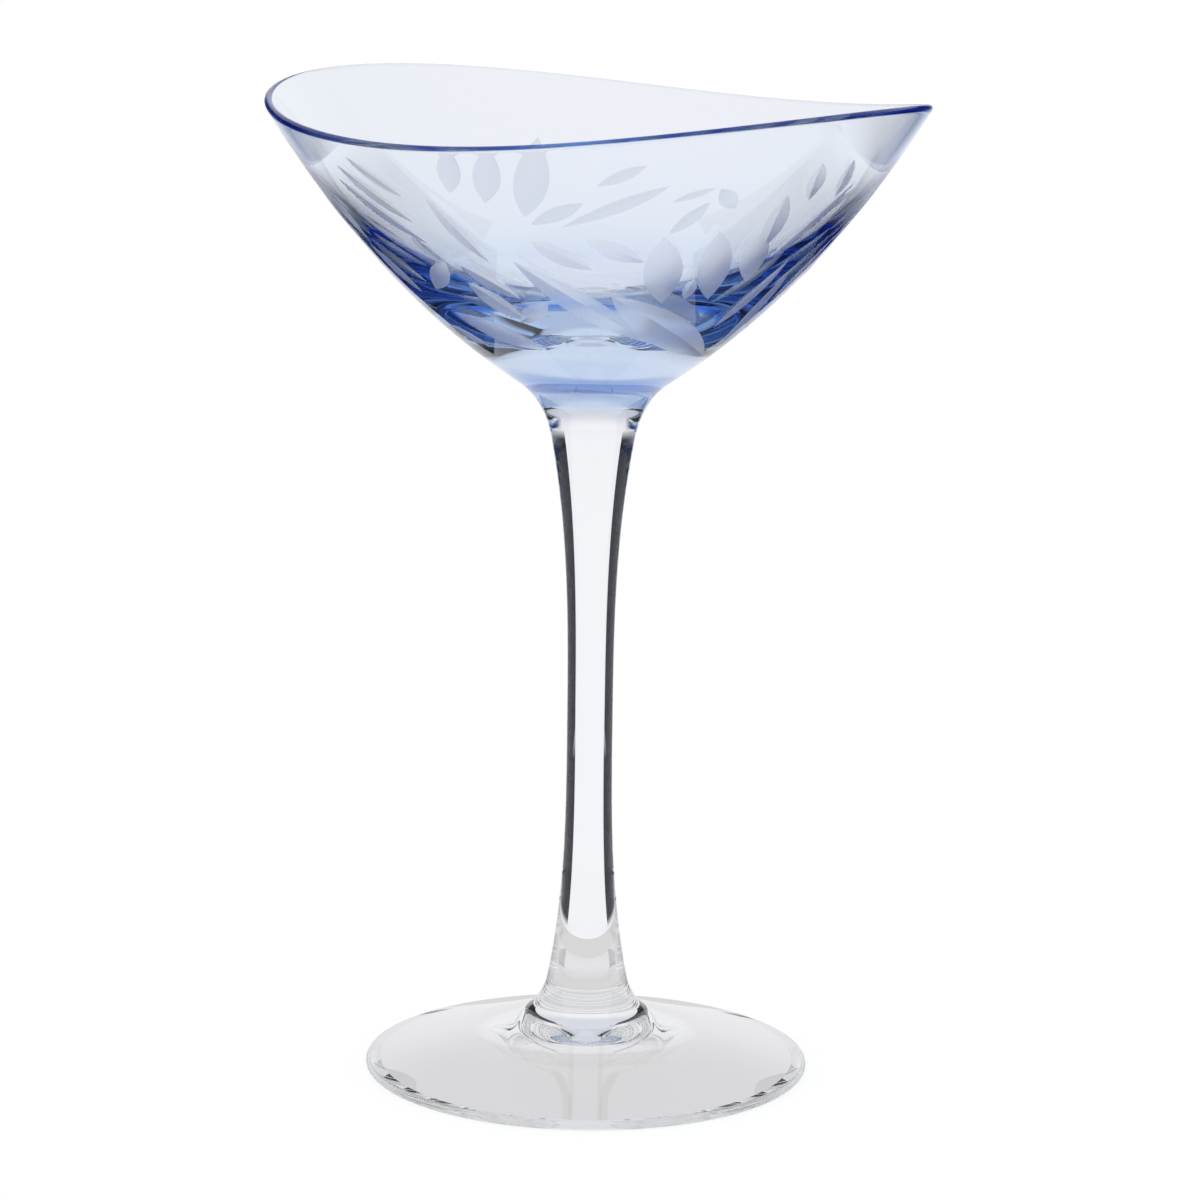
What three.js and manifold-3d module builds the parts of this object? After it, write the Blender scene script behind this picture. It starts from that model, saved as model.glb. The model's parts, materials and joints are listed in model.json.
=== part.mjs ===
// A stemmed gin glass: a pale blue bowl with a swept rim and wheel-cut leaves, in the cup of a clear drawn
// stem on a clear foot, each fused to the next while hot. Millimetres, +Z up. The foot's resting ring lies on
// Z = 0 and the glass's axis is X = Y = 0. Azimuths are in degrees from +X towards +Y. The front faces -Y.
import * as THREE from "three";
import { ParametricGeometry } from "three/addons/geometries/ParametricGeometry.js";
import { mergeVertices } from "three/addons/utils/BufferGeometryUtils.js";
import Module from "manifold-3d";

const wasm = await Module();
wasm.setup();

// Foot. A spread is the outline's lean from upright, in degrees, outwards as it rises.
const FOOT_RADIUS = 40.75;
const FOOT_EDGE = 1.7; // thickness of the rounded edge
const FOOT_EDGE_SPREAD = -75.5;
const RING_WIDTH = 2.2; // flat ring that the glass stands on
const HOLLOW_RISE = 7; // height of the domed hollow under the foot
const HOLLOW_SPREAD = -77; // of the hollow, at the ring
const COLLAR_RADIUS = 12.8; // where the foot's cone turns up towards the stem
const COLLAR_HEIGHT = 9.9;
const COLLAR_SPREAD = -71;
const FOOT_HEIGHT = 16.9; // table to the joint with the stem

// Stem, with heights above its joint with the foot, up to the flare under the bowl
const STEM_FOOT_RADIUS = 7.4;
const STEM_FOOT_SPREAD = -11.3;
const WAIST_RADIUS = 4.2;
const WAIST_HEIGHT = 51.1;
const NECK_RADIUS = 7.7;
const NECK_HEIGHT = 101.4;
const NECK_SPREAD = 11;
const FLARE_RADIUS = 11.8;
const FLARE_SPREAD = 44.5;
const FLARE_HEIGHT = 109.6;

// Bowl, with heights above the flare, up to the middle of its swept rim
const SHOULDER_RADIUS = 14;
const SHOULDER_HEIGHT = 1.8;
const SHOULDER_SPREAD = 56.3;
const RIM_RADIUS = 58.8;
const RIM_HEIGHT = 50.4;
const RIM_SPREAD = 31.8;
const RIM_SWEEP = 2.95; // rise of the rim's two crests above its middle, and fall of its two lows
const CREST_AZIMUTH = -38.6;
const RIM_WALL = 1.5;
const BASE_WALL = 13.5; // blue and clear glass together, at the shoulder
const WALL_TAPER = 3.2; // how fast the wall thins towards the rim
const BOTTOM_WALL = 2; // blue glass under the middle of the floor

// Cup at the top of the stem, with the bowl in it
const CUP_REACH = 18; // up the wall from the shoulder, to the cup's edge
const CUP_LIP = 0.8; // thickness of the cup's edge
const CUP_SPREAD = 75; // of the face that cup and bowl share, at that edge
const FUSE_GAP = 0.02; // between the cup's face and the bowl's

// Leaves ground into the bowl: [azimuth, way up the wall in percent, length, width, lean], where the lean is
// in degrees from upright, towards a growing azimuth
const LEAF_FACET = 8; // degrees between the wall and each of a leaf's two facets
const LEAVES_FRONT = [
  [286.2, 56.5, 17.2, 7, -10],
  [299, 57.5, 18, 6.4, -14],
  [309.2, 60, 13, 5.6, -16],
  [309.5, 72.5, 12.5, 4.8, -6],
  [314.5, 85.5, 8.5, 4, -12],
  [323, 85.5, 8.5, 3.4, -10],
  [294.5, 31.5, 34, 8, -52],
  [267, 42.5, 33, 5.6, -47],
  [274.5, 64, 11.5, 4, -62],
  [262.5, 62, 12, 4, -57],
  [295, 49, 5.5, 2.4, 0],
  [239.9, 69, 16.5, 3.2, -28],
  [224.5, 85, 12.5, 2.6, -52],
  [221.5, 79, 17, 3.2, -49],
  [220.3, 73, 20, 3, -50],
  [227, 51, 11, 4, 44],
  [242.5, 50.5, 12, 3.6, -50],
  [241.5, 42.5, 12.5, 4.4, -40],
  [234.5, 29, 18, 5.8, -60],
  [252, 39, 9, 3.6, 47],
];
const LEAVES_BACK = [
  [126.5, 70.5, 11.5, 5.2, -22],
  [117, 68, 14.5, 5.8, -20],
  [106, 66, 21, 7, -17],
  [84, 68, 11, 2.8, -60],
  [84.5, 55, 24, 3.6, -58],
  [101, 52, 13, 4, -59],
  [62, 50, 12, 3.8, -22],
  [64.5, 61, 9, 2, -61],
  [54, 60, 8, 4, 48],
];
const LEAVES_RIGHT = [
  [319, 44, 18, 3.2, 19],
  [329.5, 37, 21, 4, -4],
  [321.5, 71, 19, 2.6, 34],
  [338, 51, 16, 3.4, 14],
  [346, 70, 14, 2.8, 30],
  [353, 40, 20, 5, -30],
  [4, 62, 15, 4.4, -20],
];
const LEAVES_LEFT = [
  [214.5, 25, 9, 3.4, -60],
  [202, 67.5, 10, 3.8, -20],
  [206.5, 50.5, 13, 4.2, -30],
  [192, 69, 14, 3.2, -40],
  [184, 54, 12, 4.4, 30],
  [176, 36, 20, 5.4, -50],
];
const LEAVES = [...LEAVES_FRONT, ...LEAVES_BACK, ...LEAVES_RIGHT, ...LEAVES_LEFT];

// Facets of the turned and ground surfaces: sides round the axis, and steps along each stretch of outline
const SIDES = 64;
const WALL_STEPS = 9;
const LIP_STEPS = 4;
const FLOOR_STEPS = 3;
const JOINT_STEPS = 6;
const CUP_STEPS = 3;
const FLARE_STEPS = 2;
const STEM_STEPS = 7;
const NECK_STEPS = 5;
const HOLLOW_STEPS = 6;
const EDGE_STEPS = 4;
const CONE_STEPS = 4;
const COLLAR_STEPS = 5;
const LEAF_STEPS = 6;
const LEAF_SIDES = 4;

// Length of a curve's two handles, as a share of the distance between its ends, and a small share of a curve
// over which its direction is measured
const HANDLE = 0.34;
const NEARBY = 1e-3;
// Spread of an outline that runs level
const LEVEL = 90;
// Points closer than this are one vertex
const SAME_POINT = 1e-3;

const BLUE_GLASS = { color: 0xa9c4ee, roughness: 0.03, metalness: 0, transparent: true, opacity: 0.6 };
const CLEAR_GLASS = { color: 0xe8ecf0, roughness: 0.03, metalness: 0, transparent: true, opacity: 0.5 };

const radians = THREE.MathUtils.degToRad;
const point = (radius, height) => new THREE.Vector2(radius, height);

// A place on the outline: its radius, its height above the table and the outline's direction there.
function station(radius, height, spread) {
  const lean = radians(spread);
  return { at: point(radius, height), along: point(Math.sin(lean), Math.cos(lean)) };
}

// The smooth outline between two stations.
function flow(from, to) {
  const reach = HANDLE * from.at.distanceTo(to.at);
  const leave = from.at.clone().addScaledVector(from.along, reach);
  const arrive = to.at.clone().addScaledVector(to.along, -reach);
  return new THREE.CubicBezierCurve(from.at, leave, arrive, to.at);
}

// The glass's outline, from the foot's edge up to the middle of the rim
const flareHeight = FOOT_HEIGHT + FLARE_HEIGHT;
const edgeRound = FOOT_EDGE / 2;
const footEdge = station(FOOT_RADIUS - edgeRound, FOOT_EDGE, FOOT_EDGE_SPREAD);
const collar = station(COLLAR_RADIUS, COLLAR_HEIGHT, COLLAR_SPREAD);
const stemFoot = station(STEM_FOOT_RADIUS, FOOT_HEIGHT, STEM_FOOT_SPREAD);
const waist = station(WAIST_RADIUS, FOOT_HEIGHT + WAIST_HEIGHT, 0);
const neck = station(NECK_RADIUS, FOOT_HEIGHT + NECK_HEIGHT, NECK_SPREAD);
const flare = station(FLARE_RADIUS, flareHeight, FLARE_SPREAD);
const shoulder = station(SHOULDER_RADIUS, flareHeight + SHOULDER_HEIGHT, SHOULDER_SPREAD);
const rim = station(RIM_RADIUS, flareHeight + RIM_HEIGHT, RIM_SPREAD);
const wall = flow(shoulder, rim);
// Millimetres of wall for a whole step of its curve's share, at either end
const wallSpeed = 3 * HANDLE * shoulder.at.distanceTo(rim.at);
const wallLength = wall.getLength();

// The inside of the cup, from the axis to the inside of its lip
const cupShare = wall.getUtoTmapping(CUP_REACH / wallLength);
const cupTop = wall.getPoint(cupShare);
const lipInside = cupTop.clone().addScaledVector(outward(cupShare), -CUP_LIP);
const bowlBottom = station(0, floorPoints().at(-1).y - BOTTOM_WALL, LEVEL);
const joint = flow(bowlBottom, station(lipInside.x, lipInside.y, CUP_SPREAD));

// A profile of radius and height, drawn upwards on the outside, turned about Z into a closed body.
function turned(profile) {
  return new THREE.LatheGeometry(profile, SIDES).rotateX(Math.PI / 2);
}

function footGeometry() {
  const ringEdge = station(footEdge.at.x - RING_WIDTH, 0, HOLLOW_SPREAD);
  const hollow = flow(ringEdge, station(0, HOLLOW_RISE, -LEVEL));
  const edge = new THREE.Path().absarc(footEdge.at.x, edgeRound, edgeRound, -Math.PI / 2, Math.PI / 2);
  const profile = [
    ...hollow.getPoints(HOLLOW_STEPS).reverse(),
    ...edge.getPoints(EDGE_STEPS),
    ...flow(footEdge, collar).getPoints(CONE_STEPS).slice(1),
    ...flow(collar, stemFoot).getPoints(COLLAR_STEPS).slice(1),
    point(0, FOOT_HEIGHT),
  ];
  return turned(profile);
}

// The face that the cup and the bowl share, from the axis over the cup's lip to its edge, lifted by a gap.
function seat(gap) {
  return [...joint.getPoints(JOINT_STEPS), cupTop].map(({ x, y }) => point(x, y + gap));
}

// The stem, up the outside to the cup's edge and back to the axis down the face that holds the bowl.
function stemBody() {
  const cup = [];
  for (let step = 1; step < CUP_STEPS; step += 1) {
    cup.push(wall.getPoint((cupShare * step) / CUP_STEPS));
  }
  const profile = [
    point(0, FOOT_HEIGHT),
    ...flow(stemFoot, waist).getPoints(STEM_STEPS),
    ...flow(waist, neck).getPoints(STEM_STEPS).slice(1),
    ...flow(neck, flare).getPoints(NECK_STEPS).slice(1),
    ...flow(flare, shoulder).getPoints(FLARE_STEPS).slice(1),
    ...cup,
    ...seat(0).reverse(),
  ];
  return turned(profile);
}

// The wall's outward direction at a share of its curve, which runs on past 1 to the rim's crests.
function outward(share) {
  const along = wall.getPoint(share + NEARBY).sub(wall.getPoint(share - NEARBY)).normalize();
  return point(along.y, -along.x);
}

// How far along the wall's curve the swept rim lies at an azimuth in radians: 1 is the rim's middle height.
function rimShare(azimuth) {
  const rise = RIM_SWEEP * Math.cos(2 * (azimuth - radians(CREST_AZIMUTH)));
  return 1 + rise / (wallSpeed * rim.along.y);
}

// A point of the inside, square to the wall, at a share of the way up to a rim at a share of the curve.
function insidePoint(share, rimAt) {
  const thickness = RIM_WALL + (BASE_WALL - RIM_WALL) * (1 - share) ** WALL_TAPER;
  return wall.getPoint(share * rimAt).addScaledVector(outward(share * rimAt), -thickness);
}

// The floor inside the bowl, from the wall's foot to the axis, where it lies level.
function floorPoints() {
  const edge = insidePoint(0, 1);
  const above = insidePoint(NEARBY, 1);
  const fall = ((above.y - edge.y) / (above.x - edge.x)) * (edge.x / 2);
  const points = [];
  for (let step = 1; step <= FLOOR_STEPS; step += 1) {
    const share = 1 - step / FLOOR_STEPS;
    points.push(point(edge.x * share, edge.y - fall * (1 - share * share)));
  }
  return points;
}

// The bowl's section at an azimuth: from the axis along the cup, up the outside, over the lip, down the
// inside and across the floor to the axis.
function bowlSection(azimuth) {
  const rimAt = rimShare(azimuth);
  const outside = [];
  const inside = [];
  for (let step = 0; step <= WALL_STEPS; step += 1) {
    const share = step / WALL_STEPS;
    outside.push(wall.getPoint(THREE.MathUtils.lerp(cupShare, rimAt, share)));
    inside.unshift(insidePoint(share, rimAt));
  }
  const lipMiddle = outside.at(-1).clone().lerp(inside[0], 0.5);
  const lip = [];
  for (let step = 1; step < LIP_STEPS; step += 1) {
    lip.push(outside.at(-1).clone().rotateAround(lipMiddle, (Math.PI * step) / LIP_STEPS));
  }
  return [...seat(FUSE_GAP), ...outside.slice(1), ...lip, ...inside, ...floorPoints()];
}

function bowlBody() {
  const rows = bowlSection(0).length - 1;
  const place = (round, along, target) => {
    const azimuth = 2 * Math.PI * round;
    const { x: radius, y: height } = bowlSection(azimuth)[Math.round(along * rows)];
    target.set(radius * Math.cos(azimuth), radius * Math.sin(azimuth), height);
  };
  return new ParametricGeometry(place, SIDES, rows);
}

// The body that a grinding wheel takes out for one leaf: a four-sided spindle laid along the wall, with two
// of its corners on the wall's surface, one below it and one above.
function leafCut([azimuth, percentUp, length, width, lean]) {
  const profile = [];
  for (let step = 0; step <= LEAF_STEPS; step += 1) {
    const share = (2 * step) / LEAF_STEPS - 1;
    profile.push(point((width / 2) * (1 - share * share), (length / 2) * share));
  }
  const spindle = new THREE.LatheGeometry(profile, LEAF_SIDES).scale(1, 1, Math.tan(radians(LEAF_FACET)));
  const turn = radians(lean);
  const places = spindle.getAttribute("position");
  for (let i = 0; i < places.count; i += 1) {
    const across = places.getX(i);
    const along = places.getY(i);
    const up = (percentUp / 100) * wallLength + along * Math.cos(turn) - across * Math.sin(turn);
    const within = THREE.MathUtils.clamp(up, 0, wallLength);
    const share = wall.getUtoTmapping(within / wallLength) + (up - within) / wallSpeed;
    const root = wall.getPoint(share);
    const proud = outward(share).multiplyScalar(places.getZ(i)).add(root);
    const around = radians(azimuth) + (along * Math.sin(turn) + across * Math.cos(turn)) / root.x;
    places.setXYZ(i, proud.x * Math.cos(around), proud.x * Math.sin(around), proud.y);
  }
  return spindle;
}

function solidOf(geometry) {
  const bare = geometry.clone();
  bare.deleteAttribute("normal");
  bare.deleteAttribute("uv");
  const merged = mergeVertices(bare, SAME_POINT);
  const vertProperties = merged.getAttribute("position").array;
  const triVerts = new Uint32Array(merged.index.array);
  return new wasm.Manifold(new wasm.Mesh({ numProp: 3, vertProperties, triVerts }));
}

function geometryOf(solid) {
  const { vertProperties, triVerts } = solid.getMesh();
  const geometry = new THREE.BufferGeometry();
  geometry.setAttribute("position", new THREE.BufferAttribute(vertProperties, 3));
  geometry.setIndex(new THREE.BufferAttribute(triVerts, 1));
  geometry.computeVertexNormals();
  return geometry;
}

// A body with the leaves ground in, less the chips that crossing cuts leave loose.
function ground(body) {
  const cuts = LEAVES.map((leaf) => solidOf(leafCut(leaf)));
  const bodies = wasm.Manifold.difference([solidOf(body), ...cuts]).decompose();
  const largest = (a, b) => (a.volume() > b.volume() ? a : b);
  return geometryOf(bodies.reduce(largest));
}

function piece(name, geometry, glass) {
  const mesh = new THREE.Mesh(geometry, new THREE.MeshStandardMaterial(glass));
  mesh.name = name;
  return mesh;
}

const ginGlass = new THREE.Group();
ginGlass.add(
  piece("bowl", ground(bowlBody()), BLUE_GLASS),
  piece("stem", ground(stemBody()), CLEAR_GLASS),
  piece("foot", footGeometry(), CLEAR_GLASS),
);

export default ginGlass;
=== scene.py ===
"""The looks of a stemmed gin glass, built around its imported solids: a pale blue bowl with a swept rim and
wheel-cut leaves, a clear drawn stem and a clear foot, in a pale room with dark sheets beside the glass."""
import json
import math

import bpy
import numpy as np
from mathutils import Matrix, Vector

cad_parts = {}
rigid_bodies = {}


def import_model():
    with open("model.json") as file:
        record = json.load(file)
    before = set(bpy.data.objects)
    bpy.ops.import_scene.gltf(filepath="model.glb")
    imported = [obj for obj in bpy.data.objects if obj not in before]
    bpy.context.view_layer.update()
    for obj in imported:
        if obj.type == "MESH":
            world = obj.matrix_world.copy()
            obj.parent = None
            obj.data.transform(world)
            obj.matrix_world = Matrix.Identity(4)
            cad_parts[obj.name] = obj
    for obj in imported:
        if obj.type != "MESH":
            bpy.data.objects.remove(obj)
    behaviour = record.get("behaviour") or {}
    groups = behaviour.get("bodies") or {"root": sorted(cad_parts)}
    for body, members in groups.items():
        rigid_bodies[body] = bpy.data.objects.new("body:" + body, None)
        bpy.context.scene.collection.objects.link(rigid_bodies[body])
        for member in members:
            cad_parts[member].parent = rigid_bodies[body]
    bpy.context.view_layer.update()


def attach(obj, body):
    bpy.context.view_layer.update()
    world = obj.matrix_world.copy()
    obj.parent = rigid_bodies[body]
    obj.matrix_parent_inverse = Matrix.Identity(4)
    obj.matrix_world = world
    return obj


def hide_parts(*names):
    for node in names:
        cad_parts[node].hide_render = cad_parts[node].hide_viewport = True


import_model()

MM = 0.001
radians = math.radians

# Foot, in millimetres and degrees, with the names of the part's source
FOOT_RADIUS = 40.75
FOOT_EDGE = 1.7
FOOT_EDGE_SPREAD = -75.5
RING_WIDTH = 2.2
HOLLOW_RISE = 7
HOLLOW_SPREAD = -77
COLLAR_RADIUS = 12.8
COLLAR_HEIGHT = 9.9
COLLAR_SPREAD = -71
FOOT_HEIGHT = 16.9

# Stem, from its joint with the foot up to its flare
STEM_FOOT_RADIUS = 7.4
STEM_FOOT_SPREAD = -11.3
WAIST_RADIUS = 4.2
WAIST_HEIGHT = 51.1
NECK_RADIUS = 7.7
NECK_HEIGHT = 101.4
NECK_SPREAD = 11
FLARE_RADIUS = 11.8
FLARE_SPREAD = 44.5
FLARE_HEIGHT = 109.6

# Bowl, above the flare, and the cup of clear glass that the stem holds it in
SHOULDER_RADIUS = 14
SHOULDER_HEIGHT = 1.8
SHOULDER_SPREAD = 56.3
RIM_RADIUS = 58.8
RIM_HEIGHT = 50.4
RIM_SPREAD = 31.8
RIM_SWEEP = 2.95
CREST_AZIMUTH = -38.6
RIM_WALL = 1.5
BASE_WALL = 13.5
WALL_TAPER = 3.2
CUP_REACH = 18
CUP_LIP = 0.8
CUP_SPREAD = 75
BOTTOM_WALL = 2
FUSE_GAP = 0.01  # between the faces of two fused pieces, so that rays meet them one after the other

# Curves: how far their handles reach, as a share of the way from one station to the next
HANDLE = 0.34
LEVEL = 90  # spread of an outline that runs level, away from the axis

# Leaves: [azimuth, way up the wall in percent, length, width, lean]
LEAF_FACET = 8  # degrees between a facet and the wall
LEAVES_FRONT = [
    [286.2, 56.5, 17.2, 7, -10],
    [299, 57.5, 18, 6.4, -14],
    [309.2, 60, 13, 5.6, -16],
    [309.5, 72.5, 12.5, 4.8, -6],
    [314.5, 85.5, 8.5, 4, -12],
    [323, 85.5, 8.5, 3.4, -10],
    [294.5, 31.5, 34, 8, -52],
    [267, 42.5, 33, 5.6, -47],
    [274.5, 64, 11.5, 4, -62],
    [262.5, 62, 12, 4, -57],
    [295, 49, 5.5, 2.4, 0],
    [239.9, 69, 16.5, 3.2, -28],
    [224.5, 85, 12.5, 2.6, -52],
    [221.5, 79, 17, 3.2, -49],
    [220.3, 73, 20, 3, -50],
    [227, 51, 11, 4, 44],
    [242.5, 50.5, 12, 3.6, -50],
    [241.5, 42.5, 12.5, 4.4, -40],
    [234.5, 29, 18, 5.8, -60],
    [252, 39, 9, 3.6, 47],
]
LEAVES_BACK = [
    [126.5, 70.5, 11.5, 5.2, -22],
    [117, 68, 14.5, 5.8, -20],
    [106, 66, 21, 7, -17],
    [84, 68, 11, 2.8, -60],
    [84.5, 55, 24, 3.6, -58],
    [101, 52, 13, 4, -59],
    [62, 50, 12, 3.8, -22],
    [64.5, 61, 9, 2, -61],
    [54, 60, 8, 4, 48],
]
LEAVES_RIGHT = [
    [319, 44, 18, 3.2, 19],
    [329.5, 37, 21, 4, -4],
    [321.5, 71, 19, 2.6, 34],
    [338, 51, 16, 3.4, 14],
    [346, 70, 14, 2.8, 30],
    [353, 40, 20, 5, -30],
    [4, 62, 15, 4.4, -20],
]
LEAVES_LEFT = [
    [214.5, 25, 9, 3.4, -60],
    [202, 67.5, 10, 3.8, -20],
    [206.5, 50.5, 13, 4.2, -30],
    [192, 69, 14, 3.2, -40],
    [184, 54, 12, 4.4, 30],
    [176, 36, 20, 5.4, -50],
]
LEAVES = LEAVES_FRONT + LEAVES_BACK + LEAVES_RIGHT + LEAVES_LEFT
BROAD_SHARE = 0.3  # width over length above which a wide leaf is one hollow, with no rib down its middle
BROAD_WIDTH = 5
SCOOP_DEPTH = 0.7  # depth of such a hollow over the depth of two facets

# Fineness of the shown meshes
BOWL_SIDES = 480
STEM_SIDES = 480
FOOT_SIDES = 640
WALL_ROWS = 84
LIP_ROWS = 24
FLOOR_ROWS = 24
FLARE_ROWS = 8
STEM_ROWS = 40
NECK_ROWS = 24
CUP_ROWS = 16
JOINT_ROWS = 12
HOLLOW_ROWS = 40
EDGE_ROWS = 24
CONE_ROWS = 40
COLLAR_ROWS = 24
LEAF_ROWS = 28
SCOOP_SIDES = 16
SHARP = 9.5  # degrees between two faces from which their edge is a sharp one
WALL_RUN = (-0.1, 1.2)  # shares of the wall's curve between which ways along it are measured
WALL_SAMPLES = 1301
SLOPE_STEP = 1e-3  # share of the wall over which its slope beside the floor is taken

# Glass: refraction, and light taken per metre in red, green and blue
GLASS_IOR = 1.5
BLUE_TAKEN = (36.0, 22.5, 4.5)
CLEAR_TAKEN = (1.0, 0.8, 0.8)
GROUND_ROUGHNESS = 0.36
GROUND_CLEAR = 0.84  # share of light that a frosted face lets through, the rest being scattered back
GROUND_COLOUR = (0.92, 0.945, 1)
GROUND_STREAKS = 0.05
STREAK_SCALE = (3.2, 0.16, 1)  # noise per millimetre across and along a leaf
STREAK_DETAIL = 3
STREAK_RANGE = (0.3, 0.7)  # noise at the smoothest and at the roughest streaks
LEAF_APART = 50  # millimetres between two leaves in the noise, so that no two are alike
WHITE = (1, 1, 1)


def station(radius, height, spread):
    """A place on the outline, and the outline's direction there."""
    lean = radians(spread)
    return np.array([radius, height], float), np.array([math.sin(lean), math.cos(lean)])


def flow(start, end):
    """The four points of the smooth curve between two stations."""
    reach = HANDLE * np.linalg.norm(end[0] - start[0])
    return np.array([start[0], start[0] + reach * start[1], end[0] - reach * end[1], end[0]])


def along(curve, shares):
    """Points of a curve at shares of its length in time, which may run past 1."""
    t = np.asarray(shares, float)[..., None]
    a, b, c, d = curve
    return (1 - t) ** 3 * a + 3 * (1 - t) ** 2 * t * b + 3 * (1 - t) * t ** 2 * c + t ** 3 * d


def rows_of(curve, rows):
    return along(curve, np.linspace(0, 1, rows + 1))


def outward(curve, shares):
    """The directions square to a curve, away from the axis and down."""
    t = np.asarray(shares, float)[..., None]
    a, b, c, d = curve
    slope = (1 - t) ** 2 * (b - a) + 2 * (1 - t) * t * (c - b) + t ** 2 * (d - c)
    slope /= np.linalg.norm(slope, axis=-1, keepdims=True)
    return np.stack([slope[..., 1], -slope[..., 0]], -1)


flare_height = FOOT_HEIGHT + FLARE_HEIGHT
edge_round = FOOT_EDGE / 2
edge_centre = FOOT_RADIUS - edge_round
foot_edge = station(edge_centre, FOOT_EDGE, FOOT_EDGE_SPREAD)
collar = station(COLLAR_RADIUS, COLLAR_HEIGHT, COLLAR_SPREAD)
stem_foot = station(STEM_FOOT_RADIUS, FOOT_HEIGHT, STEM_FOOT_SPREAD)
waist = station(WAIST_RADIUS, FOOT_HEIGHT + WAIST_HEIGHT, 0)
neck = station(NECK_RADIUS, FOOT_HEIGHT + NECK_HEIGHT, NECK_SPREAD)
flare = station(FLARE_RADIUS, flare_height, FLARE_SPREAD)
shoulder = station(SHOULDER_RADIUS, flare_height + SHOULDER_HEIGHT, SHOULDER_SPREAD)
rim = station(RIM_RADIUS, flare_height + RIM_HEIGHT, RIM_SPREAD)
wall = flow(shoulder, rim)
wall_speed = 3 * HANDLE * np.linalg.norm(rim[0] - shoulder[0])
rim_climb = wall_speed * rim[1][1]  # rise for each share of the wall's curve, at the rim


def turned(name, sections, material, fused_first, fused_last):
    """A closed piece from one section for each azimuth, drawn from the axis up the outside and back to
    the axis. At the section's two ends, so many stretches are fused to a neighbour."""
    sides, rows = sections.shape[:2]
    round_axis = 2 * np.pi * np.arange(sides) / sides
    rings = sections[:, 1:-1]
    points = np.stack([
        rings[..., 0] * np.cos(round_axis)[:, None],
        rings[..., 0] * np.sin(round_axis)[:, None],
        rings[..., 1],
    ], -1)
    first, last = sides * (rows - 2), sides * (rows - 2) + 1
    ends = [[0, 0, sections[0, 0, 1]], [0, 0, sections[0, -1, 1]]]
    places = np.concatenate([points.reshape(-1, 3), ends]) * MM
    index = np.arange(first).reshape(sides, rows - 2)
    beside = np.roll(index, -1, axis=0)
    quads = np.stack([index[:, :-1], beside[:, :-1], beside[:, 1:], index[:, 1:]], -1).reshape(-1, 4)
    faces = quads.tolist()
    faces += [(first, int(beside[k, 0]), int(index[k, 0])) for k in range(sides)]
    faces += [(last, int(index[k, -1]), int(beside[k, -1])) for k in range(sides)]
    stretches = np.zeros(rows - 1)
    stretches[:fused_first] = 1
    stretches[rows - 1 - fused_last:] = 1
    fused = np.concatenate([np.tile(stretches[1:-1], sides), np.repeat(stretches[[0, -1]], sides)])
    mesh = bpy.data.meshes.new(name)
    mesh.from_pydata(places.tolist(), [], faces)
    mesh.attributes.new("fused", "FLOAT", "FACE").data.foreach_set("value", fused)
    mesh.materials.append(material)
    piece = bpy.data.objects.new(name, mesh)
    bpy.context.scene.collection.objects.link(piece)
    return piece


def smooth(piece):
    piece.data.shade_smooth()
    piece.data.set_sharp_from_angle(angle=radians(SHARP))


def rim_share(azimuth):
    rise = RIM_SWEEP * math.cos(2 * (azimuth - radians(CREST_AZIMUTH)))
    return 1 + rise / rim_climb


def inside_points(shares, rim_at):
    shares = np.asarray(shares, float)
    thickness = RIM_WALL + (BASE_WALL - RIM_WALL) * (1 - shares) ** WALL_TAPER
    return along(wall, shares * rim_at) - outward(wall, shares * rim_at) * thickness[:, None]


def floor_points():
    """The floor inside the bowl, from the wall's foot to the axis, where it lies level."""
    edge, above = inside_points([0, SLOPE_STEP], 1)
    fall = (above[1] - edge[1]) / (above[0] - edge[0]) * edge[0] / 2
    shares = 1 - np.arange(1, FLOOR_ROWS + 1) / FLOOR_ROWS
    return np.stack([edge[0] * shares, edge[1] - fall * (1 - shares ** 2)], -1)


def bowl_section(azimuth):
    rim_at = rim_share(azimuth)
    outside = along(wall, np.linspace(cup_share, rim_at, WALL_ROWS + 1))
    inside = inside_points(np.linspace(0, 1, WALL_ROWS + 1), rim_at)[::-1]
    middle = (outside[-1] + inside[0]) / 2
    arm = outside[-1] - middle
    turns = np.pi * np.arange(1, LIP_ROWS) / LIP_ROWS
    lip = middle + np.stack([
        arm[0] * np.cos(turns) - arm[1] * np.sin(turns),
        arm[0] * np.sin(turns) + arm[1] * np.cos(turns),
    ], -1)
    section = np.concatenate([rows_of(joint, JOINT_ROWS), outside, lip, inside, floor_points()])
    section[:JOINT_ROWS + 2, 1] += FUSE_GAP
    return section


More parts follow.
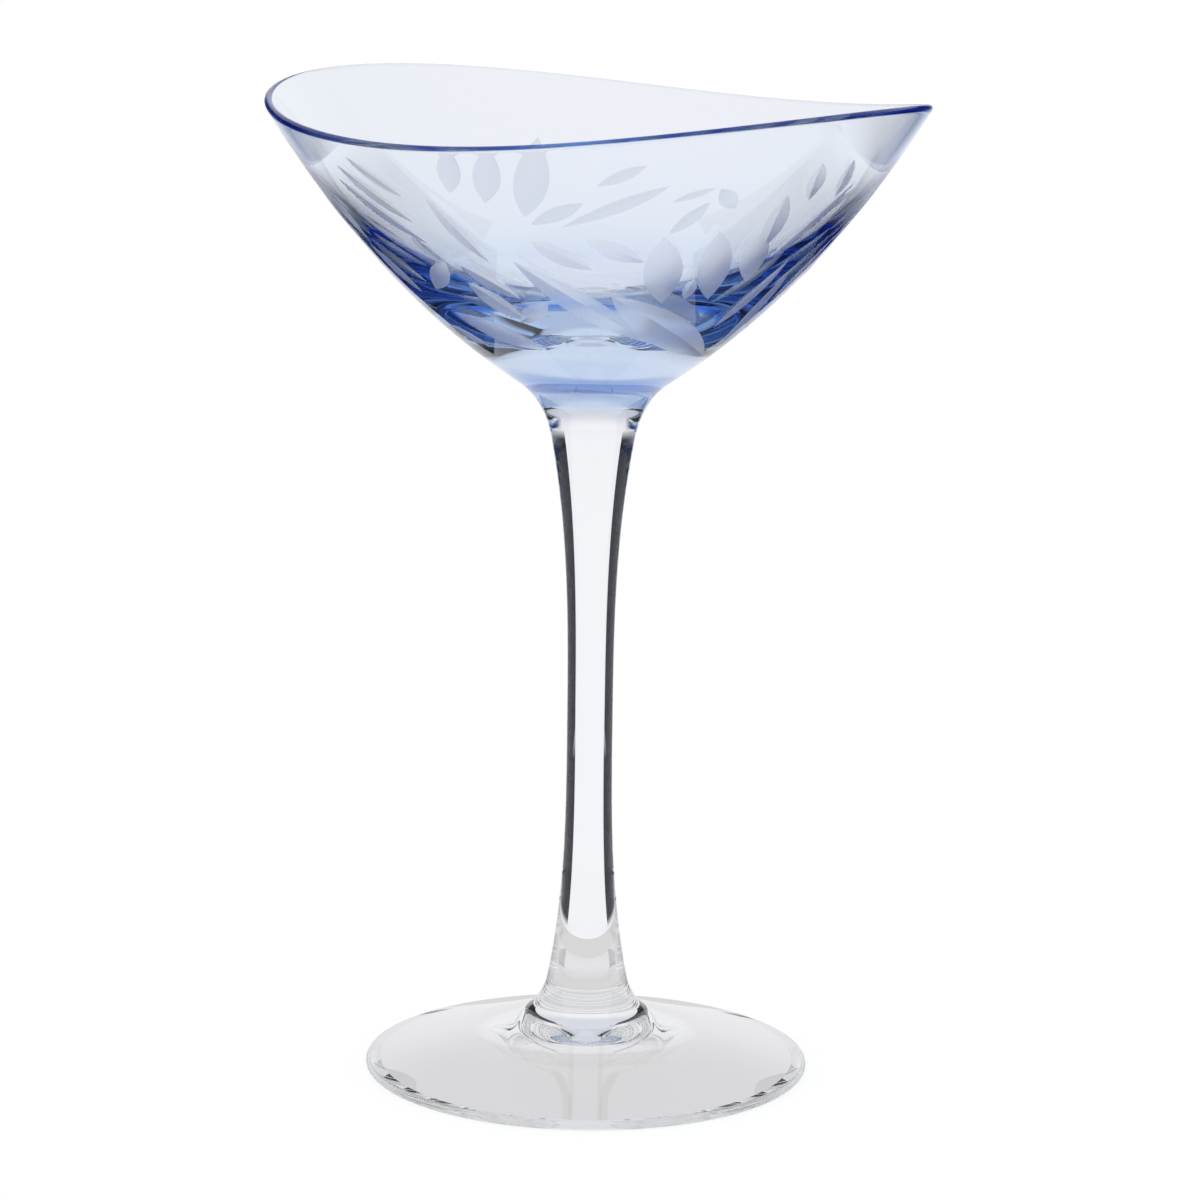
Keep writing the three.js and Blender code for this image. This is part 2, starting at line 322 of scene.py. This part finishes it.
def leaf_cutter(number, leaf):
    """The body that a grinding wheel takes out for one leaf, laid along the wall. Its corners carry their
    place on the leaf, in millimetres across and along it."""
    azimuth, percent_up, length, width, lean = leaf
    broad = width >= BROAD_WIDTH and width > BROAD_SHARE * length
    steps = SCOOP_SIDES if broad else 2
    shares = np.linspace(-1, 1, LEAF_ROWS + 1)
    half = (width / 2) * (1 - shares[1:-1] ** 2)
    over = np.linspace(1, -1, steps + 1)[:-1]
    rise = 1 - over ** 2 if broad else 1 - np.abs(over)
    across = np.concatenate([over, -over])[None, :] * half[:, None]
    depth = (SCOOP_DEPTH if broad else 1) * math.tan(radians(LEAF_FACET))
    proud = np.concatenate([rise, -rise])[None, :] * half[:, None] * depth
    sides = 2 * steps
    up = np.broadcast_to(shares[1:-1, None] * length / 2, across.shape)
    tips = np.array([[0, 0, -length / 2], [0, 0, length / 2]])
    flat = np.concatenate([np.stack([across, proud, up], -1).reshape(-1, 3), tips])
    turn = radians(lean)
    way = percent_up / 100 * wall_length + flat[:, 2] * math.cos(turn) - flat[:, 0] * math.sin(turn)
    share = np.interp(way, wall_ways, wall_shares)
    root = along(wall, share)
    place = root + outward(wall, share) * flat[:, 1:2]
    around = radians(azimuth) + (flat[:, 2] * math.sin(turn) + flat[:, 0] * math.cos(turn)) / root[:, 0]
    points = np.stack([place[:, 0] * np.cos(around), place[:, 0] * np.sin(around), place[:, 1]], -1) * MM
    rings = LEAF_ROWS - 1
    index = np.arange(rings * sides).reshape(rings, sides)
    beside = np.roll(index, -1, axis=1)
    faces = np.stack([index[:-1], index[1:], beside[1:], beside[:-1]], -1).reshape(-1, 4).tolist()
    low, high = rings * sides, rings * sides + 1
    for k in range(sides):
        faces.append((low, int(index[0, k]), int(beside[0, k])))
        faces.append((high, int(beside[-1, k]), int(index[-1, k])))
    mesh = bpy.data.meshes.new(f"leaf_cutter_{number}")
    mesh.from_pydata(points.tolist(), [], faces)
    mesh.attributes.new("ground", "FLOAT", "FACE").data.foreach_set("value", [1.0] * len(faces))
    mesh.attributes.new("fused", "FLOAT", "FACE")
    corners = np.zeros(len(mesh.loops), np.int32)
    mesh.loops.foreach_get("vertex_index", corners)
    places = flat[corners][:, [0, 2]] + [0, LEAF_APART * number]
    mesh.uv_layers.new(name="leaf").data.foreach_set("uv", places.astype(np.float32).ravel())
    return bpy.data.objects.new(f"leaf_cutter_{number}", mesh)


def grind(bodies):
    """Grinds the leaves into the bowl and the cup below it."""
    cutters = bpy.data.collections.new("leaf_cutters")
    for number, leaf in enumerate(LEAVES):
        cutters.objects.link(leaf_cutter(number, leaf))
    for body in bodies:
        body.data.attributes.new("ground", "FLOAT", "FACE")
        body.data.uv_layers.new(name="leaf")
        cut = body.modifiers.new("leaves", "BOOLEAN")
        cut.operation = "DIFFERENCE"
        cut.solver = "MANIFOLD"
        cut.operand_type = "COLLECTION"
        cut.collection = cutters
        graph = bpy.context.evaluated_depsgraph_get()
        ground = bpy.data.meshes.new_from_object(body.evaluated_get(graph))
        ground.name = body.name
        body.modifiers.clear()
        body.data = ground
    for cutter in list(cutters.objects):
        bpy.data.objects.remove(cutter)
    bpy.data.collections.remove(cutters)


def carried(tree, name):
    """A node that reads what the mesh carries by that name."""
    node = tree.nodes.new("ShaderNodeAttribute")
    node.attribute_name = name
    return node


def ranged(tree, value, low, high, from_low=0, from_high=1):
    """A value moved from one range into another."""
    node = tree.nodes.new("ShaderNodeMapRange")
    node.inputs["From Min"].default_value = from_low
    node.inputs["From Max"].default_value = from_high
    node.inputs["To Min"].default_value = low
    node.inputs["To Max"].default_value = high
    tree.links.new(value, node.inputs["Value"])
    return node.outputs["Result"]


def blend(tree, factor, first, second):
    """A mix of two colours, each of them a value or another node's output."""
    mix = tree.nodes.new("ShaderNodeMix")
    mix.data_type = "RGBA"
    colour_inputs = [socket for socket in mix.inputs if socket.type == "RGBA"]
    for socket, colour in zip(colour_inputs, (first, second)):
        if isinstance(colour, tuple):
            socket.default_value = (*colour, 1)
        else:
            tree.links.new(colour, socket)
    tree.links.new(factor, mix.inputs[0])
    return next(socket for socket in mix.outputs if socket.type == "RGBA")


def frost(tree, shader):
    """Makes ground leaves rough, with streaks from the wheel, and lets them scatter some light back."""
    ground = carried(tree, "ground").outputs["Fac"]
    place = tree.nodes.new("ShaderNodeUVMap")
    place.uv_map = "leaf"
    stretch = tree.nodes.new("ShaderNodeMapping")
    stretch.inputs["Scale"].default_value = STREAK_SCALE
    tree.links.new(place.outputs[0], stretch.inputs["Vector"])
    streaks = tree.nodes.new("ShaderNodeTexNoise")
    streaks.inputs["Scale"].default_value = 1
    streaks.inputs["Detail"].default_value = STREAK_DETAIL
    tree.links.new(stretch.outputs[0], streaks.inputs["Vector"])
    smoothest, roughest = GROUND_ROUGHNESS - GROUND_STREAKS, GROUND_ROUGHNESS + GROUND_STREAKS
    frosted = tree.nodes.new("ShaderNodeMath")
    frosted.operation = "MULTIPLY"
    rough = ranged(tree, streaks.outputs["Fac"], smoothest, roughest, *STREAK_RANGE)
    tree.links.new(rough, frosted.inputs[0])
    tree.links.new(ground, frosted.inputs[1])
    tree.links.new(frosted.outputs[0], shader.inputs["Roughness"])
    tree.links.new(ranged(tree, ground, 1, GROUND_CLEAR), shader.inputs["Transmission Weight"])
    tree.links.new(blend(tree, ground, WHITE, GROUND_COLOUR), shader.inputs["Base Color"])


def glass(name, taken):
    """Solid glass that takes light on the way through. Fused faces bend nothing, and leaves are frosted."""
    material = bpy.data.materials.new(name)
    material.use_nodes = True
    tree = material.node_tree
    shader = tree.nodes["Principled BSDF"]
    shader.inputs["Base Color"].default_value = (*WHITE, 1)
    shader.inputs["Transmission Weight"].default_value = 1
    shader.inputs["Roughness"].default_value = 0
    fused = carried(tree, "fused").outputs["Fac"]
    tree.links.new(ranged(tree, fused, GLASS_IOR, 1), shader.inputs["IOR"])
    inside = tree.nodes.new("ShaderNodeVolumeAbsorption")
    density = max(taken)
    inside.inputs["Density"].default_value = density
    inside.inputs["Color"].default_value = (*(1 - part / density for part in taken), 1)
    tree.links.new(inside.outputs[0], tree.nodes["Material Output"].inputs["Volume"])
    frost(tree, shader)
    return material


# The glass
wall_shares = np.linspace(*WALL_RUN, WALL_SAMPLES)
wall_points = along(wall, wall_shares)
wall_ways = np.concatenate([[0], np.cumsum(np.linalg.norm(np.diff(wall_points, axis=0), axis=1))])
wall_start, wall_end = np.interp([0, 1], wall_shares, wall_ways)
wall_ways -= wall_start
wall_length = wall_end - wall_start

blue = glass("blue_glass", BLUE_TAKEN)
clear = glass("clear_glass", CLEAR_TAKEN)

bowl_bottom = station(0, floor_points()[-1][1] - BOTTOM_WALL, LEVEL)
cup_share = float(np.interp(CUP_REACH, wall_ways, wall_shares))
cup_edge = along(wall, cup_share) - outward(wall, cup_share) * CUP_LIP
joint = flow(bowl_bottom, station(*cup_edge, CUP_SPREAD))
azimuths = 2 * np.pi * np.arange(BOWL_SIDES) / BOWL_SIDES
bowl = turned("glass_bowl", np.stack([bowl_section(a) for a in azimuths]), blue, JOINT_ROWS + 1, 0)

stem_section = np.concatenate([
    [[0, FOOT_HEIGHT]],
    rows_of(flow(stem_foot, waist), STEM_ROWS),
    rows_of(flow(waist, neck), STEM_ROWS)[1:],
    rows_of(flow(neck, flare), NECK_ROWS)[1:],
    rows_of(flow(flare, shoulder), FLARE_ROWS)[1:],
    along(wall, np.linspace(0, cup_share, CUP_ROWS + 1))[1:],
    rows_of(joint, JOINT_ROWS)[::-1],
])
stem_section[:2, 1] += FUSE_GAP
stem = turned("glass_stem", np.repeat(stem_section[None], STEM_SIDES, 0), clear, 1, JOINT_ROWS + 1)
grind([bowl, stem])

ring_inner = edge_centre - RING_WIDTH
hollow = flow(station(ring_inner, 0, HOLLOW_SPREAD), station(0, HOLLOW_RISE, -LEVEL))
turns = np.linspace(-np.pi / 2, np.pi / 2, EDGE_ROWS + 1)
edge = np.stack([edge_centre + edge_round * np.cos(turns), edge_round + edge_round * np.sin(turns)], -1)
foot_section = np.concatenate([
    rows_of(hollow, HOLLOW_ROWS)[::-1],
    edge,
    rows_of(flow(foot_edge, collar), CONE_ROWS)[1:],
    rows_of(flow(collar, stem_foot), COLLAR_ROWS)[1:],
    [[0, FOOT_HEIGHT]],
])
foot = turned("glass_foot", np.repeat(foot_section[None], FOOT_SIDES, 0), clear, 0, 1)

pieces = (
    (bowl, "bowl", "blue_glass"),
    (stem, "stem", "clear_glass"),
    (foot, "foot", "clear_glass"),
)
for piece, node, slot in pieces:
    smooth(piece)
    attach(piece, "root")
    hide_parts(node)

# Camera at the photograph's angle, in metres and degrees, with its lens and sensor in millimetres
CAMERA_ELEVATION = 11.542
CAMERA_DISTANCE = 0.84427
CAMERA_ROLL = 0.711
CAMERA_AIM = (0.00158, 0, 0.08782)
CAMERA_SENSOR = 36
CAMERA_LENS = 139.19
CAMERA_NEAR = 0.01
scene = bpy.context.scene
camera = bpy.data.objects.new("camera", bpy.data.cameras.new("camera"))
scene.collection.objects.link(camera)
aim = Vector(CAMERA_AIM)
ahead = CAMERA_DISTANCE * math.cos(radians(CAMERA_ELEVATION))
above = CAMERA_DISTANCE * math.sin(radians(CAMERA_ELEVATION))
camera.location = aim + Vector((0, -ahead, above))
look = (aim - camera.location).to_track_quat("-Z", "Y").to_matrix()
camera.rotation_euler = (look @ Matrix.Rotation(radians(CAMERA_ROLL), 3, "Z")).to_euler()
camera.data.sensor_width = CAMERA_SENSOR
camera.data.lens = CAMERA_LENS
camera.data.clip_start = CAMERA_NEAR
scene.camera = camera
bpy.context.view_layer.update()


def light(name, colour, strength=1.0):
    """A plain glowing material."""
    material = bpy.data.materials.new(name)
    material.use_nodes = True
    tree = material.node_tree
    tree.nodes.clear()
    shader = tree.nodes.new("ShaderNodeEmission")
    shader.inputs["Color"].default_value = (*colour, 1)
    shader.inputs["Strength"].default_value = strength
    tree.links.new(shader.outputs[0], tree.nodes.new("ShaderNodeOutputMaterial").inputs[0])
    return material


# World and floor are white to the camera, and the glass sees a pale room that darkens upwards
ROOM = (0.915, 0.92, 0.95)
ROOM_TOP = (0.7, 0.72, 0.78)
ROOM_RISE = (14, 30)  # degrees above level between which the room darkens
world = bpy.data.worlds.new("room")
scene.world = world
world.use_nodes = True
world_tree = world.node_tree
way = world_tree.nodes.new("ShaderNodeTexCoord")
upright = world_tree.nodes.new("ShaderNodeSeparateXYZ")
world_tree.links.new(way.outputs["Generated"], upright.inputs[0])
room = world_tree.nodes.new("ShaderNodeValToRGB")
for element, rise, colour in zip(room.color_ramp.elements, ROOM_RISE, (ROOM, ROOM_TOP)):
    element.position = math.sin(radians(rise))
    element.color = (*colour, 1)
world_tree.links.new(upright.outputs["Z"], room.inputs["Fac"])
path = world_tree.nodes.new("ShaderNodeLightPath")
shade = blend(world_tree, path.outputs["Is Camera Ray"], room.outputs["Color"], WHITE)
world_tree.links.new(shade, world_tree.nodes["Background"].inputs["Color"])

FLOOR_HALF = 4
FLOOR_MATT = 0.2  # share of the floor's white that is lit by the room and keeps the glass's shadow
FLOOR_GLOW = 0.86
floor_mesh = bpy.data.meshes.new("floor")
floor_corners = [(FLOOR_HALF * x, FLOOR_HALF * y, 0) for x, y in ((-1, -1), (1, -1), (1, 1), (-1, 1))]
floor_mesh.from_pydata(floor_corners, [], [(0, 1, 2, 3)])
floor_white = light("floor_white", WHITE, FLOOR_GLOW)
floor_tree = floor_white.node_tree
matt = floor_tree.nodes.new("ShaderNodeBsdfDiffuse")
matt.inputs["Color"].default_value = (FLOOR_MATT, FLOOR_MATT, FLOOR_MATT, 1)
both = floor_tree.nodes.new("ShaderNodeAddShader")
floor_tree.links.new(matt.outputs[0], both.inputs[0])
floor_tree.links.new(floor_tree.nodes["Emission"].outputs[0], both.inputs[1])
floor_tree.links.new(both.outputs[0], floor_tree.nodes["Material Output"].inputs[0])
floor_mesh.materials.append(floor_white)
floor = bpy.data.objects.new("floor", floor_mesh)
scene.collection.objects.link(floor)
floor.visible_glossy = False
floor.visible_transmission = False

# The grey that the foot shows of what it stands on: a glowing disc that only the glass sees, partly the
# table's own grey and partly painted shadow of the glass around its foot
TABLE_RADIUS = 0.055
TABLE_DROP = 0.0001
TABLE_SIDES = 96
TABLE_AND_SHADOW_GREY = (0.69, 0.675, 0.68)
table_mesh = bpy.data.meshes.new("table")
table_turns = [2 * math.pi * side / TABLE_SIDES for side in range(TABLE_SIDES)]
table_points = [(TABLE_RADIUS * math.cos(a), TABLE_RADIUS * math.sin(a), -TABLE_DROP) for a in table_turns]
table_mesh.from_pydata(table_points, [], [tuple(range(TABLE_SIDES))])
table_mesh.materials.append(light("table_and_painted_shadow_grey", TABLE_AND_SHADOW_GREY))
table = bpy.data.objects.new("table", table_mesh)
scene.collection.objects.link(table)
table.visible_camera = False

# Dark cards beside the stem, mats beside the foot and flags beside the bowl, on a rig that faces the camera
rig = bpy.data.objects.new("light_rig", None)
scene.collection.objects.link(rig)
facing = rig.constraints.new("LOCKED_TRACK")
facing.target = camera
facing.track_axis = "TRACK_NEGATIVE_Y"
facing.lock_axis = "LOCK_Z"

# Painted shade and painted reflections: the sheets glow in these colours for rays through and off the glass
# only, so the stem's edges, the foot and the bowl's sides look dark, and NAVY and DUSK paint a blue tint
# into the bowl's sides
DARK = (0.02, 0.022, 0.03)
DUSK = (0.37, 0.41, 0.51)
NAVY = (0.09, 0.12, 0.25)
# Each sheet has colours along one direction, with None for the room's own, and strengths along the other.
# Azimuths are in degrees from straight behind the glass, and other places in metres
FLAG_REACH = 0.15
FLAG_SPLIT = 0.168
FLAG_ROUND = ((31, None), (43, DUSK), (52, NAVY), (60, DARK), (112, DARK), (122, None))
FLAG_UP = ((0.075, 0), (0.1, 1), (FLAG_SPLIT, 1))
FLAG_TOP_ROUND = ((30, None), (40, NAVY), (46, DARK), (112, DARK), (122, None))
FLAG_TOP_UP = ((FLAG_SPLIT, 1), (0.21, 1), (0.235, 0))
CARD_ASIDE = 0.07
CARD_BACK = ((-0.03, DARK), (0.13, DARK))
CARD_UP = ((0.03, 1), (0.128, 1), (0.15, 0))
MAT_ROUND = ((28, DARK), (112, DARK))
MAT_OUT = ((0.056, 0), (0.062, 1), (0.24, 1), (0.3, 0))
MAT_SEEN = (1.15, 1.22)  # a ray's length over its reach, where a mat passes into the room for steeper rays
SHEET_STEPS = 8


def between(stops):
    """Places at and between the stops."""
    ends = [place for place, _ in stops]
    return np.unique(np.concatenate([np.linspace(a, b, SHEET_STEPS + 1) for a, b in zip(ends, ends[1:])]))


def sheets(name, colour_stops, strength_stops, place, material):
    """A sheet with soft edges on either side, which the camera, the floor and shadows don't see."""
    firsts, seconds = between(colour_stops), between(strength_stops)
    points = [place(first, second) for first in firsts for second in seconds]
    count = len(seconds)
    corners = [k * count + j for k in range(len(firsts) - 1) for j in range(count - 1)]
    faces = [(c, c + count, c + count + 1, c + 1) for c in corners]
    stops = np.array([ROOM if colour is None else colour for _, colour in colour_stops])
    ends = [first for first, _ in colour_stops]
    colours = np.stack([np.interp(firsts, ends, stops[:, channel]) for channel in range(3)], -1)
    strengths = np.interp(seconds, *zip(*strength_stops))[None, :, None]
    glow = np.ones((len(firsts), count, 4))
    glow[..., :3] = np.array(ROOM) * (1 - strengths) + colours[:, None] * strengths
    for hand, side in (("left", -1), ("right", 1)):
        mesh = bpy.data.meshes.new(f"{name}_{hand}")
        mesh.from_pydata([(side * x, y, z) for x, y, z in points], [], faces)
        mesh.attributes.new("glow", "FLOAT_COLOR", "POINT").data.foreach_set("color", glow.ravel())
        mesh.materials.append(material)
        piece = bpy.data.objects.new(f"{name}_{hand}", mesh)
        scene.collection.objects.link(piece)
        piece.visible_camera = False
        piece.visible_diffuse = False
        piece.visible_shadow = False
        piece.parent = rig


def sheet_material(name, seen=None):
    """A glow of the mesh's own colours, which steep rays take for the room where `seen` is given."""
    material = light(name, ROOM)
    tree = material.node_tree
    colour = carried(tree, "glow").outputs["Color"]
    if seen:
        reach = tree.nodes.new("ShaderNodeVectorMath")
        reach.operation = "LENGTH"
        tree.links.new(tree.nodes.new("ShaderNodeNewGeometry").outputs["Position"], reach.inputs[0])
        steep = tree.nodes.new("ShaderNodeMath")
        steep.operation = "DIVIDE"
        tree.links.new(tree.nodes.new("ShaderNodeLightPath").outputs["Ray Length"], steep.inputs[0])
        tree.links.new(reach.outputs["Value"], steep.inputs[1])
        colour = blend(tree, ranged(tree, steep.outputs[0], 0, 1, *seen), colour, ROOM)
    tree.links.new(colour, tree.nodes["Emission"].inputs["Color"])
    return material


def bent(azimuth, height, reach=FLAG_REACH):
    return reach * math.sin(radians(azimuth)), reach * math.cos(radians(azimuth)), height


glowing = sheet_material("sheet")
near_glowing = sheet_material("near_sheet", MAT_SEEN)
sheets("flag", FLAG_ROUND, FLAG_UP, bent, glowing)
sheets("flag_top", FLAG_TOP_ROUND, FLAG_TOP_UP, bent, glowing)
sheets("card", CARD_BACK, CARD_UP, lambda back, height: (CARD_ASIDE, back, height), glowing)
sheets("mat", MAT_ROUND, MAT_OUT, lambda azimuth, reach: bent(azimuth, 0, reach), near_glowing)

# Light goes through many faces of glass, so no ray ends early
BOUNCES = 160
scene.view_settings.view_transform = "Standard"
scene.cycles.max_bounces = BOUNCES
scene.cycles.transmission_bounces = BOUNCES
scene.cycles.glossy_bounces = BOUNCES
scene.cycles.sample_clamp_indirect = 0
